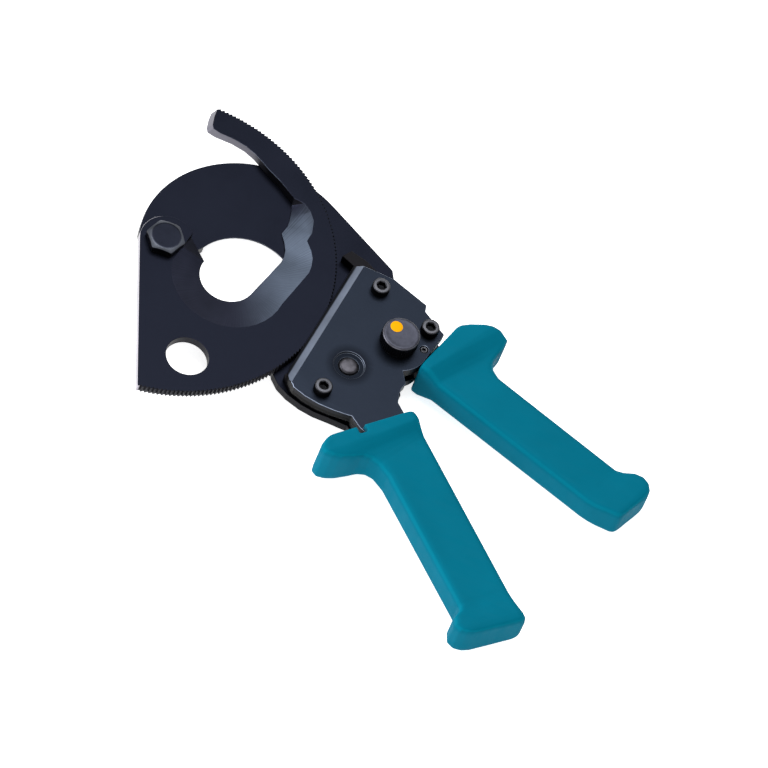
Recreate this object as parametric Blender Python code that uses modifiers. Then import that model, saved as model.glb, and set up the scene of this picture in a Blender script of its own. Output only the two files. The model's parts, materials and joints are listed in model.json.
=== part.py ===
"""Ratchet cable cutter: two hooked blades, a toothed moving blade, two pawls and two grips.

The drawing plane is X-Y and all drawing sizes are in millimetres. The blade pivot stands on
the origin, +Z points to the front (cover) side, and the tool lies on the plane Z = 0.
"""
from math import acos, atan2, cos, degrees, hypot, pi, radians, sin, tan

import bmesh
import bpy
from mathutils import Matrix, Vector

MM = 0.001
GAP = 0.3

# Layers of the stack, back to front.
NUT = (0.0, 4.2)
FIXED = (4.5, 9.0)
MIDDLE = (9.3, 13.8)
COVER = (14.1, 19.1)
POCKET = (14.1, 16.5)
HEAD_SEAT = COVER[1] + GAP
LAP = (MIDDLE[0] + MIDDLE[1] - GAP) / 2
GRIP_MIDDLE = 11.7

# Blades.
PIVOT = (0.0, 0.0)
TOOTH_TIP_R = 81.0
TOOTH_ROOT_R = 80.1
TOOTH_COUNT = 124
TOOTH_FIRST = 92.4
TOOTH_LAST = -78.4
EDGE_LAND = 0.5
HANG_HOLE = (31.3, -53.3)
HANG_HOLE_R = 10.0

# Pins and screws on the frame.
HANDLE_PIN = (116.1, -3.6)
PAWL_PIN = (100.0, -25.5)
DRIVE_PIN = (97.0, -10.5)
SCREW_UPPER = (98.9, 19.5)
SCREW_LOWER = (93.3, -44.3)
SCREW_RIGHT = (127.0, 9.5)
GRUB_SCREW = (128.3, -0.8)
HOLDING_TIP = (79.4, -18.4)
DRIVE_TIP = (81.4, -5.9)
LIFT_REACH = 20.0
PIN_R = 4.5
SCREW_R = 2.5
SCREW_HEAD = 4.0
BOLT_R = 5.0
BOLT_HEAD = 4.4
BOLT_FLATS = 16.0
BUSH_R = 7.0
RIVET_R = 2.0
GRUB_R = 1.7
DRIVE_PIN_R = 1.75
KNOB_STEM_R = 3.0
CAM_STEM_R = 1.9

# Handles: where each grip starts, which way it runs, and which side its horn is on.
FIXED_HANDLE = {"origin": (126.6, -45.1), "angle": -43.5, "side": -1}
MOVING_HANDLE = {"origin": (133.2, -1.0), "angle": -17.2, "side": 1}
FRAME_REACH = 14.8
NECK_REACH = 8.0
TANG_LENGTH = 85.0
TANG_HALF = 6.3

PALETTE = {
    "blade_steel": ((0.030, 0.033, 0.040), 0.42, 0.8),
    "cover_steel": ((0.045, 0.052, 0.066), 0.48, 0.6),
    "black_oxide": ((0.020, 0.021, 0.024), 0.50, 0.7),
    "bright_steel": ((0.50, 0.50, 0.50), 0.30, 1.0),
    "bolt_steel": ((0.075, 0.085, 0.100), 0.38, 0.9),
    "knob_grey": ((0.110, 0.115, 0.130), 0.45, 0.5),
    "bronze": ((0.45, 0.28, 0.12), 0.40, 1.0),
    "grip_teal": ((0.000, 0.170, 0.250), 0.50, 0.0),
    "index_yellow": ((1.000, 0.520, 0.010), 0.45, 0.0),
}


def clear_scene():
    for obj in list(bpy.data.objects):
        bpy.data.objects.remove(obj, do_unlink=True)


def new_collection(name):
    collection = bpy.data.collections.new(name)
    bpy.context.scene.collection.children.link(collection)
    return collection


clear_scene()
PARTS = new_collection("cable_cutter")
CUTTERS = new_collection("cutters")


def material(part_name, finish):
    """Each sub-part gets a material of its own, with its finish from the palette."""
    colour, roughness, metallic = PALETTE[finish]
    mat = bpy.data.materials.new(part_name + "_" + finish)
    mat.use_nodes = True
    shader = mat.node_tree.nodes["Principled BSDF"]
    shader.inputs["Base Color"].default_value = (*colour, 1.0)
    shader.inputs["Roughness"].default_value = roughness
    shader.inputs["Metallic"].default_value = metallic
    return mat


# ---------------------------------------------------------------- flat geometry

def arc(centre, radius, start, end, steps):
    """Points on a circle from one angle to another, in degrees, both ends included."""
    points = []
    for k in range(steps + 1):
        a = radians(start + (end - start) * k / steps)
        points.append((centre[0] + radius * cos(a), centre[1] + radius * sin(a)))
    return points


def circle(centre, radius, steps=32):
    return arc(centre, radius, 0, 360, steps)[:-1]


def rounded(corners, steps=4):
    """An outline with its corners rounded; a corner is (x, y) or (x, y, radius)."""
    outline = []
    count = len(corners)
    for k in range(count):
        corner = Vector(corners[k][:2])
        radius = corners[k][2] if len(corners[k]) > 2 else 0.0
        if not radius:
            outline.append(tuple(corner))
            continue
        back = (Vector(corners[k - 1][:2]) - corner).normalized()
        ahead = (Vector(corners[(k + 1) % count][:2]) - corner).normalized()
        half = acos(max(-1.0, min(1.0, back.dot(ahead)))) / 2
        start = corner + back * (radius / tan(half))
        centre = corner + (back + ahead).normalized() * (radius / sin(half))
        a0 = atan2(start.y - centre.y, start.x - centre.x)
        turn = pi - 2 * half
        if back.x * ahead.y - back.y * ahead.x > 0:
            turn = -turn
        for j in range(steps + 1):
            a = a0 + turn * j / steps
            outline.append((centre.x + radius * cos(a), centre.y + radius * sin(a)))
    return outline


def capsule(centre_a, radius_a, centre_b, radius_b, steps=14):
    """The outline of two circles with their outer tangents."""
    run = (centre_b[0] - centre_a[0], centre_b[1] - centre_a[1])
    along = degrees(atan2(run[1], run[0]))
    spread = degrees(acos((radius_a - radius_b) / hypot(*run)))
    around_a = arc(centre_a, radius_a, along + spread, along + 360 - spread, steps)
    around_b = arc(centre_b, radius_b, along - spread, along + spread, steps)
    return around_a + around_b


def on_handle(handle, s, t):
    """A point s along a handle and t towards its horn side, in the drawing plane."""
    a = radians(handle["angle"])
    side = handle["side"]
    x = handle["origin"][0] + s * cos(a) - side * t * sin(a)
    y = handle["origin"][1] + s * sin(a) + side * t * cos(a)
    return (x, y)


def handle_outline(handle, corners):
    """Corners given as (s, t, radius) on a handle, as drawing-plane corners."""
    placed = []
    for corner in corners:
        placed.append((*on_handle(handle, *corner[:2]), *corner[2:]))
    return rounded(placed)


def polar(centre, radius, angle):
    return (centre[0] + radius * cos(radians(angle)), centre[1] + radius * sin(radians(angle)))


# ---------------------------------------------------------------- solids

def add_object(name, mesh, collection=PARTS, at=(0.0, 0.0, 0.0)):
    obj = bpy.data.objects.new(name, mesh)
    obj.location = Vector(at) * MM
    collection.objects.link(obj)
    return obj


def plate(name, outline, layer, holes=(), at=(0.0, 0.0), collection=PARTS):
    """A plate cut from sheet: a filled 2D curve, extruded and turned into a mesh.

    at is the drawing-plane point that becomes the object's origin.
    """
    curve = bpy.data.curves.new(name + "_outline", "CURVE")
    curve.dimensions = "2D"
    curve.fill_mode = "BOTH"
    curve.extrude = (layer[1] - layer[0]) / 2 * MM
    for loop in [outline, *holes]:
        spline = curve.splines.new("POLY")
        spline.points.add(len(loop) - 1)
        for point, (x, y) in zip(spline.points, loop):
            point.co = ((x - at[0]) * MM, (y - at[1]) * MM, 0.0, 1.0)
        spline.use_cyclic_u = True
    middle = (layer[0] + layer[1]) / 2
    return mesh_object(name, curve, (at[0], at[1], middle), collection)


def wire(name, points, radius, at=(0.0, 0.0, 0.0), sides=2):
    """A round wire through points."""
    curve = bpy.data.curves.new(name + "_path", "CURVE")
    curve.dimensions = "3D"
    curve.bevel_depth = radius * MM
    curve.bevel_resolution = sides
    curve.use_fill_caps = True
    spline = curve.splines.new("POLY")
    spline.points.add(len(points) - 1)
    for point, place in zip(spline.points, points):
        point.co = (*((Vector(place) - Vector(at)) * MM), 1.0)
    return mesh_object(name, curve, at, PARTS)


def mesh_object(name, curve, at, collection):
    """Turn a curve into a welded, outward-facing mesh object."""
    temporary = bpy.data.objects.new(name + "_curve", curve)
    temporary.location = Vector(at) * MM
    collection.objects.link(temporary)
    bpy.context.view_layer.update()
    evaluated = temporary.evaluated_get(bpy.context.evaluated_depsgraph_get())
    mesh = bpy.data.meshes.new_from_object(evaluated)
    mesh.name = name
    weld(mesh)
    obj = bpy.data.objects.new(name, mesh)
    obj.matrix_world = temporary.matrix_world
    collection.objects.link(obj)
    bpy.data.objects.remove(temporary, do_unlink=True)
    return obj


def weld(mesh):
    bm = bmesh.new()
    bm.from_mesh(mesh)
    bmesh.ops.remove_doubles(bm, verts=bm.verts, dist=0.000005)
    bmesh.ops.recalc_face_normals(bm, faces=bm.faces)
    bm.to_mesh(mesh)
    bm.free()


def loft(name, rings):
    """A closed body through rings of points, each ring having the same number of them."""
    bm = bmesh.new()
    loops = [[bm.verts.new(Vector(point) * MM) for point in ring] for ring in rings]
    for lower, upper in zip(loops, loops[1:]):
        for k in range(len(lower)):
            after = (k + 1) % len(lower)
            bm.faces.new((lower[k], lower[after], upper[after], upper[k]))
    caps = [bm.faces.new(loops[0]), bm.faces.new(loops[-1])]
    bm.normal_update()
    bmesh.ops.triangulate(bm, faces=caps, ngon_method="EAR_CLIP")
    bmesh.ops.remove_doubles(bm, verts=bm.verts, dist=0.000005)
    bmesh.ops.recalc_face_normals(bm, faces=bm.faces)
    mesh = bpy.data.meshes.new(name)
    bm.to_mesh(mesh)
    bm.free()
    return add_object(name, mesh)


def lofted_plate(name, sections):
    """A plate whose outline changes with height: sections are (z, outline), bottom first."""
    return loft(name, [[(x, y, z) for x, y in outline] for z, outline in sections])


def turned(name, centre, profile, steps=32, collection=PARTS):
    """A turned piece: a profile of (radius, z), top to bottom, spun by a Screw modifier."""
    mesh = bpy.data.meshes.new(name)
    points = [(r * MM, 0.0, z * MM) for r, z in profile]
    edges = [(k, k + 1) for k in range(len(points) - 1)]
    mesh.from_pydata(points, edges, [])
    obj = add_object(name, mesh, collection, (centre[0], centre[1], 0.0))
    spin = obj.modifiers.new("spin", "SCREW")
    spin.axis = "Z"
    spin.steps = steps
    spin.render_steps = steps
    spin.use_merge_vertices = True
    spin.merge_threshold = 0.000005
    return obj


def pin_profile(radius, layer, chamfer=0.3):
    z0, z1 = layer
    return [(0.0, z1), (radius - chamfer, z1), (radius, z1 - chamfer), (radius, z0), (0.0, z0)]


def sleeve_profile(outer, inner, layer):
    """A closed profile of a tube, down its outer side and up its bore."""
    z0, z1 = layer
    return [(inner, z1), (outer, z1), (outer, z0), (inner, z0), (inner, z1)]


def drill(obj, centre, radius, layer, steps=32):
    """Cut a round hole through the heights in layer."""
    cut(obj, plate(obj.name + "_drill", circle(centre, radius, steps), layer, collection=CUTTERS))


def cut(obj, cutter, operation="DIFFERENCE"):
    cutter.hide_render = True
    cutter.display_type = "WIRE"
    boolean = obj.modifiers.new("cut", "BOOLEAN")
    boolean.operation = operation
    boolean.solver = "EXACT"
    boolean.object = cutter


def finish(obj, finish_name, smooth=0.0):
    """Give a piece its material, and smooth shading on a round one."""
    obj.data.materials.clear()
    obj.data.materials.append(material(obj.name, finish_name))
    if smooth:
        obj.data.shade_smooth()
        obj.data.set_sharp_from_angle(angle=radians(smooth))
    return obj


# ---------------------------------------------------------------- blades

def tooth_arc():
    """The ratchet teeth: each rises slowly clockwise and drops square at its end."""
    points = []
    pitch = (TOOTH_FIRST - TOOTH_LAST) / TOOTH_COUNT
    for k in range(TOOTH_COUNT):
        start = TOOTH_FIRST - k * pitch
        points.append(polar(PIVOT, TOOTH_ROOT_R, start - 0.06 * pitch))
        points.append(polar(PIVOT, TOOTH_TIP_R, start - 0.94 * pitch))
    return points


def moving_blade():
    """Hooked blade: toothed back, straight left side, eye round the pivot, ground bevel."""
    arm = [(37.4, 56.7), (29.8, 60.4), (26.0, 62.7), (21.5, 65.2), (16.2, 67.2), (9.5, 68.2)]
    tip_front = [(2.6, 68.2), (-0.9, 68.9), (-2.1, 70.9), (-2.9, 75.2), (-3.2, 79.3)]
    tip_edge = [(0.8, 68.0), (-3.0, 68.7), (-4.2, 70.7), (-5.0, 75.2), (-5.1, 79.3)]
    eye = arc((1.3, 1.2), 13.1, 199.75, 46.0, 18)
    shared = tooth_arc() + [(16.0, -78.5)] + eye
    nose_front = [(8.7, 1.4)] + arc((33.8, -4.0), 27.0, 188.0, 356.0, 18)
    nose_edge = [(20.3, 1.4)] + arc((33.1, -1.4), 13.2, 176.0, 344.0, 18)
    side_front = [(66.1, 16.2), (65.9, 20.0), (65.0, 24.3), (63.0, 27.9)]
    side_edge = [(52.4, 18.2), (52.6, 21.4), (52.0, 25.0), (50.2, 28.9)]
    hook_front = [(59.3, 32.2), (59.9, 37.5), (58.4, 44.0), (55.3, 48.2), (51.0, 50.9)]
    hook_edge = [(47.3, 33.2), (48.3, 38.0), (48.1, 42.0), (47.2, 46.2), (46.2, 49.8)]
    root = [(45.8, 51.4)]
    front = arm + tip_front + shared + nose_front + side_front + hook_front + root
    edge = arm + tip_edge + shared + nose_edge + side_edge + hook_edge + root
    back, face = MIDDLE
    blade = lofted_plate("moving_blade", [(back, edge), (back + EDGE_LAND, edge), (face, front)])
    through = (back - 1, face + 1)
    drill(blade, PIVOT, BUSH_R + GAP, through)
    drill(blade, HANG_HOLE, HANG_HOLE_R, through, 48)
    finish(blade, "blade_steel")


def frame_right_side():
    """The frame's side under the moving grip, clear of the grip as it swings."""
    upper = [(121.3, 22.4), (122.0, 18.9), (134.0, 11.3)]
    swing = arc(HANDLE_PIN, FRAME_REACH, -17.3, -60.0, 8)
    waist = [(126.9, -22.3), (126.0, -25.5), (126.0, -28.8), (127.2, -33.6)]
    neck_out = [on_handle(FIXED_HANDLE, -1.0, -8.9), on_handle(FIXED_HANDLE, NECK_REACH, -8.0)]
    neck_back = [on_handle(FIXED_HANDLE, NECK_REACH, 10.4), on_handle(FIXED_HANDLE, -1.0, 14.4)]
    return upper + swing + waist + neck_out + neck_back


def fixed_blade():
    """Hooked blade that carries the frame: its root is the back plate and neck."""
    outer = arc((38.9, 13.2), 52.5, 191.5, 61.8, 40)
    shoulder = [(100.6, 39.8), (103.2, 34.7), (103.2, 28.4)]
    rim = [(110.2, -49.8), (101.5, -49.9), (94.0, -50.2), (87.0, -49.4), (79.5, -47.2),
           (74.0, -44.3), (70.0, -40.3), (68.0, -36.6), (66.6, -25.0)]
    centre = (40.6, -1.8)
    edge = arc(centre, 25.6, -25.0, 155.0, 28)
    grind = []
    for k, point in enumerate(edge):
        away = Vector(point) - Vector(centre)
        width = 9.0 * min(1.0, 3.5 * sin(pi * k / (len(edge) - 1)))
        grind.append(tuple(Vector(point) + away.normalized() * width))
    eye = arc(PIVOT, 10.2, -12.0, -168.0, 14)
    shared = outer + shoulder + frame_right_side() + rim
    back, face = FIXED
    front_outline = shared + edge + eye
    back_outline = shared + grind + eye
    sections = [(back, back_outline), (face - EDGE_LAND, front_outline), (face, front_outline)]
    blade = lofted_plate("fixed_blade", sections)
    through = (back - 1, face + 1)
    drill(blade, PIVOT, BOLT_R + GAP, through)
    for screw in (SCREW_UPPER, SCREW_LOWER, SCREW_RIGHT):
        drill(blade, screw, SCREW_R + GAP, through, 20)
    for pin in (PAWL_PIN, HANDLE_PIN):
        drill(blade, pin, PIN_R + GAP, through)
    for rivet in tang_rivet_places():
        drill(blade, rivet, RIVET_R + GAP, through, 20)
    finish(blade, "blade_steel")


# ---------------------------------------------------------------- frame

def front_cover():
    """Cover plate with a sloped flange towards the blades and a pocket for the release cam."""
    flange_top = (83.4, 28.6)
    flange_foot = (75.7, -38.0)
    rim = [(110.4, -50.8), (108.0, -51.2), (101.9, -51.9), (94.3, -52.0), (87.2, -51.0),
           (81.2, -49.2), (77.8, -45.6), (76.0, -41.5)]
    outline = [flange_top, (103.2, 28.4)] + frame_right_side() + rim + [flange_foot]
    cover = plate("front_cover", outline, COVER)
    cut(cover, flange_cutter(flange_top, flange_foot))
    pocket = capsule(PAWL_PIN, 8.6, HANDLE_PIN, 10.6)
    cut(cover, plate("release_pocket", pocket, (COVER[0] - 1, POCKET[1]), collection=CUTTERS))
    through = (COVER[0] - 1, COVER[1] + 1)
    for screw in (SCREW_UPPER, SCREW_LOWER, SCREW_RIGHT):
        drill(cover, screw, SCREW_R + GAP, through, 20)
    for rivet in tang_rivet_places():
        drill(cover, rivet, RIVET_R + GAP, through, 20)
    drill(cover, PAWL_PIN, PIN_R + GAP, through)
    drill(cover, PAWL_PIN, 7.25, (COVER[1] - 1.2, COVER[1] + 1))
    drill(cover, HANDLE_PIN, KNOB_STEM_R + GAP, through, 24)
    drill(cover, GRUB_SCREW, GRUB_R + GAP, through, 20)
    finish(cover, "cover_steel")


def flange_cutter(top, foot):
    """A block whose sloped underside leaves the flange along the cover's blade side."""
    run = Vector((top[0] - foot[0], top[1] - foot[1], 0.0))
    width = 4.4
    drop = 3.9
    block = 12.0
    bm = bmesh.new()
    bmesh.ops.create_cube(bm, size=1.0)
    bmesh.ops.scale(bm, vec=(block * MM, (run.length + 20) * MM, block * MM), verts=bm.verts)
    lift = Matrix.Translation(Vector((0.0, 0.0, block / 2)) * MM)
    tilt = Matrix.Rotation(-atan2(drop, width), 4, "Y")
    turn = Matrix.Rotation(atan2(run.y, run.x) - pi / 2, 4, "Z")
    across = Vector((run.y, -run.x, 0.0)).normalized()
    middle = Vector(((top[0] + foot[0]) / 2, (top[1] + foot[1]) / 2, COVER[1] - drop / 2))
    place = Matrix.Translation((middle + across * width / 2) * MM)
    bmesh.ops.transform(bm, matrix=place @ turn @ tilt @ lift, verts=bm.verts)
    mesh = bpy.data.meshes.new("flange_slope")
    bm.to_mesh(mesh)
    bm.free()
    return add_object("flange_slope", mesh, CUTTERS)


def spacers():
    """Blocks in the blade's layer that hold the two plates apart."""
    upper = [(76.9, 32.6), (79.8, 37.2, 0.6), (88.0, 35.4, 0.6), (102.4, 28.0), (120.6, 21.9),
             (121.3, 18.4, 1.0), (112.5, 14.6, 3.0), (104.5, 13.2, 3.0), (93.0, 14.6, 4.0),
             (88.4, 22.0, 2.0), (84.2, 29.6)]
    hole = circle(SCREW_UPPER, SCREW_R + GAP, 20)
    finish(plate("upper_spacer", rounded(upper), MIDDLE, [hole]), "cover_steel")
    lower = [(74.6, -40.8, 1.0), (79.8, -45.9), (87.0, -48.4), (94.0, -49.3), (101.0, -49.2, 1.0),
             (103.0, -46.2, 1.0), (98.0, -38.4, 2.0), (88.0, -37.4), (79.4, -36.2, 1.0)]
    hole = circle(SCREW_LOWER, SCREW_R + GAP, 20)
    finish(plate("lower_spacer", rounded(lower), MIDDLE, [hole]), "cover_steel")
    sleeve = sleeve_profile(3.9, SCREW_R + GAP, MIDDLE)
    finish(turned("handle_stop_sleeve", SCREW_RIGHT, sleeve, 24), "bright_steel", 40)


def hex_prism(name, centre, across_flats, layer, turn=0.0, collection=PARTS):
    radius = across_flats / 2 / cos(radians(30))
    outline = arc(centre, radius, turn, turn + 360, 6)[:-1]
    return plate(name, outline, layer, collection=collection)


def pivot_fasteners():
    """Hex bolt through both blades, its bush in the moving blade, and the nut at the back."""
    head = (COVER[0], COVER[0] + BOLT_HEAD)
    bolt = hex_prism("pivot_bolt", PIVOT, BOLT_FLATS, head, 6.0)
    face_r = BOLT_FLATS / 2 - 0.8
    rim_r = BOLT_FLATS / 2 + 2.0
    crown = [(0.0, head[1]), (face_r, head[1]), (rim_r, head[1] - 1.6), (rim_r, head[0] - 1),
             (0.0, head[0] - 1)]
    cut(bolt, turned("bolt_crown", PIVOT, crown, 36, CUTTERS), "INTERSECT")
    shank = [(0.0, head[0] + 1), (BOLT_R, head[0] + 1), (BOLT_R, 0.6), (BOLT_R - 0.6, 0.0),
             (0.0, 0.0)]
    cut(bolt, turned("bolt_shank", PIVOT, shank, 32, CUTTERS), "UNION")
    finish(bolt, "bolt_steel")
    bush = sleeve_profile(BUSH_R, BOLT_R + GAP, MIDDLE)
    finish(turned("pivot_bush", PIVOT, bush), "bronze", 40)
    nut = hex_prism("pivot_nut", PIVOT, BOLT_FLATS, NUT, 20.0)
    drill(nut, PIVOT, BOLT_R + GAP, (NUT[0] - 1, NUT[1] + 1))
    finish(nut, "bolt_steel")


def cap_screw(name, centre, turn):
    """Socket cap screw through cover, spacer and back plate."""
    top = HEAD_SEAT + SCREW_HEAD
    profile = [(0.0, top), (3.8, top), (4.25, top - 0.45), (4.25, HEAD_SEAT),
               (SCREW_R, HEAD_SEAT), (SCREW_R, 4.6), (0.0, 4.6)]
    screw = turned(name, centre, profile, 28)
    cut(screw, hex_prism(name + "_socket", centre, 4.0, (top - 2.6, top + 1), turn, CUTTERS))
    finish(screw, "black_oxide", 40)


def frame_fasteners():
    cap_screw("cover_screw_upper", SCREW_UPPER, 10.0)
    cap_screw("cover_screw_lower", SCREW_LOWER, 35.0)
    cap_screw("cover_screw_right", SCREW_RIGHT, 20.0)
    grub = turned("cover_grub_screw", GRUB_SCREW, pin_profile(GRUB_R, (14.6, 18.9)), 20)
    socket = hex_prism("grub_socket", GRUB_SCREW, 1.6, (17.4, 20.0), 0.0, CUTTERS)
    cut(grub, socket)
    finish(grub, "black_oxide", 40)
    pin_top = COVER[1] - 0.1
    groove = [(0.0, pin_top), (PIN_R - 0.5, pin_top), (PIN_R, pin_top - 0.5), (PIN_R, 4.1),
              (3.7, 4.1), (3.7, 3.1), (PIN_R, 3.1), (PIN_R, 2.4), (0.0, 2.4)]
    finish(turned("holding_pawl_pin", PAWL_PIN, groove), "bright_steel", 40)
    clip = arc(PAWL_PIN, 6.4, -60, 240, 24) + arc(PAWL_PIN, 4.0, 240, -60, 20)
    finish(plate("pawl_pin_clip", clip, (3.2, 4.0), at=PAWL_PIN), "bright_steel")
    pin = [(0.0, 13.8), (PIN_R, 13.8), (PIN_R, 4.2), (6.6, 4.2), (6.6, 2.6), (6.0, 2.2), (0.0, 2.2)]
    pivot = turned("handle_pivot_pin", HANDLE_PIN, pin)
    drill(pivot, HANDLE_PIN, CAM_STEM_R + GAP, (10.4, 15.0), 20)
    finish(pivot, "bright_steel", 40)


# ---------------------------------------------------------------- handles

GRIP_EDGE = 3.2
HEAD = 11.7
SHAFT = 8.0

# Sections along a grip: s at its inner side, s at its horn side, inner t, horn t and half of
# its thickness. The head is thick, and slopes down to the shaft across two slanting creases.
FIXED_GRIP_SECTIONS = [
    (0.0, -0.4, -11.8, 32.2, 10.9), (0.8, 0.4, -12.6, 33.6, HEAD), (2.5, 2.0, -13.0, 36.2, HEAD),
    (4.2, 4.4, -13.1, 38.2, HEAD), (5.0, 7.2, -13.1, 37.6, HEAD), (6.2, 9.6, -13.0, 35.0, 11.0),
    (7.5, 11.4, -13.0, 31.4, 10.2), (9.0, 12.7, -13.0, 25.8, 9.3), (9.8, 13.4, -13.0, 20.8, 8.9),
    (11.0, 15.4, -13.0, 17.2, 8.4), (12.5, 19.0, -13.0, 14.8, SHAFT), (20.0, 26.0, -13.0, 13.3, SHAFT),
    (98.5, 98.0, -13.0, 13.1, SHAFT), (101.0, 100.6, -13.0, 14.6, 8.3), (103.6, 103.0, -13.0, 18.4, 8.8),
    (107.0, 107.0, -13.3, 20.2, 9.2), (111.0, 110.2, -14.0, 19.0, 9.3), (113.6, 112.3, -14.0, 16.4, 9.0),
    (114.9, 113.4, -13.2, 13.8, 8.2), (115.3, 113.8, -11.8, 11.8, 6.8),
]
MOVING_GRIP_SECTIONS = [
    (0.0, -0.4, -11.4, 18.8, 10.9), (0.7, 0.3, -12.1, 20.4, HEAD), (2.0, 3.0, -12.1, 24.0, HEAD),
    (3.0, 8.0, -12.1, 28.8, HEAD), (3.7, 11.6, -12.1, 31.0, HEAD), (5.0, 15.2, -12.1, 32.0, 11.0),
    (9.2, 20.2, -12.1, 31.4, 8.9), (10.6, 21.6, -12.1, 26.8, 8.2), (11.3, 21.8, -12.1, 21.0, SHAFT),
    (12.5, 22.4, -12.1, 17.4, SHAFT), (16.0, 24.8, -12.1, 14.2, SHAFT), (24.0, 29.4, -12.1, 12.4, SHAFT),
    (98.0, 98.0, -12.1, 12.1, SHAFT), (102.0, 101.5, -11.6, 13.8, 8.2), (106.0, 105.5, -10.6, 17.0, 8.5),
    (109.6, 109.6, -9.4, 18.2, 8.6), (112.4, 113.2, -8.6, 17.2, 8.6), (114.0, 115.8, -7.8, 14.8, 8.2),
    (114.7, 116.7, -6.9, 12.4, 7.4), (115.0, 117.0, -5.6, 10.8, 6.2),
]


def grip(name, handle, sections):
    """Moulded grip: rounded sections lofted along a handle, with a horn at each end."""
    rings = []
    for inner_s, horn_s, inner_t, horn_t, half in sections:
        corners = [(inner_t, -half), (inner_t, half), (horn_t, half), (horn_t, -half)]
        ring = []
        for t, rise in rounded([(*corner, GRIP_EDGE) for corner in corners]):
            s = inner_s + (horn_s - inner_s) * (t - inner_t) / (horn_t - inner_t)
            ring.append((*on_handle(handle, s, t), GRIP_MIDDLE + rise))
        rings.append(ring)
    return loft(name, rings)


def tang_bar(handle, head):
    """Corners of the flat bar inside a grip, from its head to its far end."""
    far = TANG_LENGTH
    bar = [(far, -TANG_HALF, 2.0), (far, TANG_HALF, 2.0), (NECK_REACH, TANG_HALF)]
    return [(*on_handle(handle, *corner[:2]), *corner[2:]) for corner in bar + head]


def tang_rivet_places():
    return [on_handle(FIXED_HANDLE, 4.0, -2.5), on_handle(FIXED_HANDLE, 4.0, 4.5)]


def fixed_handle():
    head = [(-1.0, 13.6), (-9.0, 14.0, 3.0), (-16.0, 11.0, 3.0), (-16.0, -8.4, 3.0), (-1.0, -8.4),
            (NECK_REACH, -TANG_HALF)]
    holes = [circle(place, RIVET_R + GAP, 20) for place in tang_rivet_places()]
    outline = rounded(tang_bar(FIXED_HANDLE, head))
    finish(plate("fixed_tang", outline, MIDDLE, holes), "black_oxide")
    for k, place in enumerate(tang_rivet_places()):
        rivet = turned("tang_rivet_%d" % (k + 1), place, pin_profile(RIVET_R, (4.6, 19.0)), 20)
        finish(rivet, "bright_steel", 40)
    body = grip("fixed_grip", FIXED_HANDLE, FIXED_GRIP_SECTIONS)
    end = NECK_REACH + 0.4
    neck = [(-3.0, -9.5), (-1.0, -9.3), (end, -8.4), (end, 10.9), (-1.0, 14.9), (-3.0, 15.5)]
    neck_hole = handle_outline(FIXED_HANDLE, neck)
    layer = (FIXED[0] - GAP, COVER[1] + GAP)
    cut(body, plate("neck_hole", neck_hole, layer, collection=CUTTERS))
    notch = handle_outline(FIXED_HANDLE, [(-3.0, 13.4), (3.6, 13.4), (3.6, 17.6), (-3.0, 17.6)])
    cut(body, plate("neck_notch", notch, (MIDDLE[1], COVER[1] + 8), collection=CUTTERS))
    cut(body, tang_hole(FIXED_HANDLE))
    finish(body, "grip_teal", 50)


def tang_hole(handle):
    start = NECK_REACH - 0.6
    far = TANG_LENGTH + GAP
    half = TANG_HALF + GAP
    slot = [(start, -half), (far, -half), (far, half), (start, half)]
    layer = (MIDDLE[0] - GAP, MIDDLE[1] + GAP)
    return plate("tang_hole", handle_outline(handle, slot), layer, collection=CUTTERS)


def moving_handle():
    """Lever that swings on the handle pin and carries the drive pawl on its short arm."""
    turn = MOVING_HANDLE["angle"]
    head_r = 10.1
    arm_r = 4.4
    reach = (DRIVE_PIN[0] - HANDLE_PIN[0], DRIVE_PIN[1] - HANDLE_PIN[1])
    along = degrees(atan2(reach[1], reach[0])) + 360
    spread = degrees(acos((head_r - arm_r) / hypot(*reach)))
    outline = rounded(tang_bar(MOVING_HANDLE, [(0.0, 3.2)]))
    outline += arc(HANDLE_PIN, head_r, turn + 90, along - spread, 6)
    outline += arc(DRIVE_PIN, arm_r, along - spread, along + spread, 12)
    outline += arc(HANDLE_PIN, head_r, along + spread, turn + 342.1, 6)
    outline += [on_handle(MOVING_HANDLE, 0.0, -10.0), on_handle(MOVING_HANDLE, 10.0, -TANG_HALF)]
    holes = [circle(HANDLE_PIN, PIN_R + GAP), circle(DRIVE_PIN, DRIVE_PIN_R + GAP, 20)]
    tang = plate("moving_tang", outline, MIDDLE, holes, at=HANDLE_PIN)
    lap = plate("arm_lap", circle(DRIVE_PIN, 5.6), (LAP, MIDDLE[1] + 1), collection=CUTTERS)
    cut(tang, lap)
    finish(tang, "black_oxide")
    body = grip("moving_grip", MOVING_HANDLE, MOVING_GRIP_SECTIONS)
    mouth = [(-3.0, -10.3), (0.0, -10.3), (10.4, -6.6), (8.4, 6.6), (0.0, 3.6), (-3.0, 3.6)]
    layer = (MIDDLE[0] - GAP, MIDDLE[1] + GAP)
    mouth_outline = handle_outline(MOVING_HANDLE, mouth)
    cut(body, plate("tang_mouth", mouth_outline, layer, collection=CUTTERS))
    cut(body, tang_hole(MOVING_HANDLE))
    finish(body, "grip_teal", 50)
    move_to_joint(body, HANDLE_PIN)
    pin = turned("drive_pawl_pin", DRIVE_PIN, pin_profile(DRIVE_PIN_R, (9.4, 13.7)), 20)
    finish(pin, "bright_steel", 40)


def move_to_joint(obj, joint):
    """Put an object's origin on its joint's axis, leaving its shape where it is."""
    shift = Vector((joint[0], joint[1], 0.0)) * MM - obj.location
    shift.z = 0.0
    obj.data.transform(Matrix.Translation(-shift))
    obj.location += shift


# ---------------------------------------------------------------- ratchet

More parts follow.
